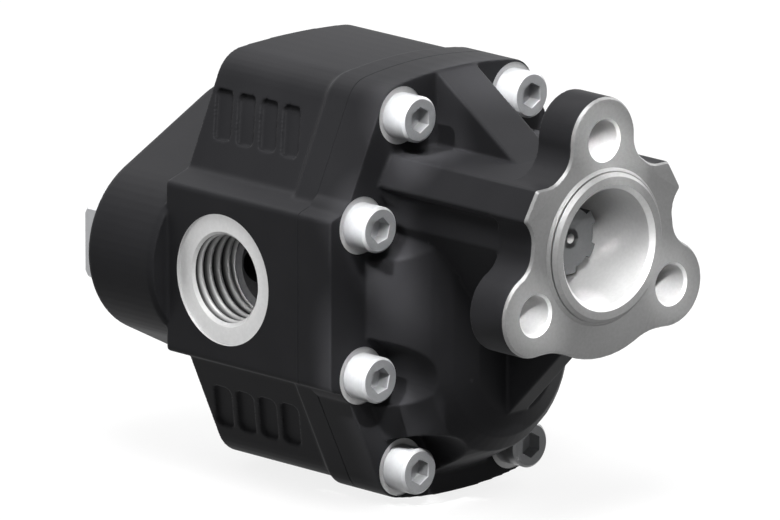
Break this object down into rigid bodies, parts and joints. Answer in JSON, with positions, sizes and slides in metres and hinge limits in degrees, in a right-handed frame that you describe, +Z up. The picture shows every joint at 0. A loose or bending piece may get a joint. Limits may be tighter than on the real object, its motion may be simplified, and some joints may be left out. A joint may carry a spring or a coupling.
{
  "type": "reversible gear pump",
  "caption": "Reversible external gear pump: cast body with side ports, flanged front cover, meshed gears and a splined drive shaft in a piloted mounting flange.",
  "frame": {"origin": "centre of the mounting flange's face, on the drive shaft's axis", "axes": "-Y out of the flange towards the engine or gearbox, +Y back along the shafts, +X to the right seen from the flange side, +Z up from the driven shaft to the drive shaft"},
  "size_m": [0.1344, 0.2014, 0.1507],
  "materials": {
    "casting": "satin black paint on cast iron, with machined faces bare",
    "gear_steel": "ground case-hardened steel",
    "plate_bronze": "lapped bronze",
    "bush_bronze": "sintered bronze on a steel back",
    "seal_rubber": "matt nitrile rubber",
    "backup_plastic": "matt PTFE",
    "spring_steel": "phosphated spring steel",
    "zinc_steel": "bright zinc-plated steel"
  },
  "bodies": {
    "housing": {"body": "casting", "front_cover": "casting", "thrust_plate_front": "plate_bronze", "thrust_plate_rear": "plate_bronze", "plate_seal_front": "seal_rubber", "plate_seal_rear": "seal_rubber", "backup_ring_front": "backup_plastic", "backup_ring_rear": "backup_plastic", "drive_bush_front": "bush_bronze", "drive_bush_rear": "bush_bronze", "driven_bush_front": "bush_bronze", "driven_bush_rear": "bush_bronze", "shaft_seal_inner": "seal_rubber", "shaft_seal_outer": "seal_rubber", "seal_spacer": "zinc_steel", "snap_ring": "spring_steel", "cover_seal": "seal_rubber", "dowel_upper": "zinc_steel", "dowel_lower": "zinc_steel", "screw_top_left": "zinc_steel", "screw_top_right": "zinc_steel", "screw_upper_left": "zinc_steel", "screw_upper_right": "zinc_steel", "screw_lower_left": "zinc_steel", "screw_lower_right": "zinc_steel", "screw_bottom_left": "zinc_steel", "screw_bottom_right": "zinc_steel", "plug_left": "zinc_steel", "plug_right": "zinc_steel", "plug_seal_left": "seal_rubber", "plug_seal_right": "seal_rubber"},
    "drive_shaft": {"drive_gear": "gear_steel"},
    "driven_shaft": {"driven_gear": "gear_steel"}
  },
  "joints": [
    {"name": "drive_spin", "type": "hinge", "parent": "housing", "child": "drive_shaft", "pos_m": [0, 0.1255, 0], "axis": [0, 1, 0], "continuous": true},
    {"name": "driven_spin", "type": "hinge", "parent": "housing", "child": "driven_shaft", "pos_m": [0, 0.1255, -0.048], "axis": [0, 1, 0], "continuous": true}
  ],
  "couplings": [
    {"joint": "driven_spin", "follows": "drive_spin", "ratio": -1}
  ]
}
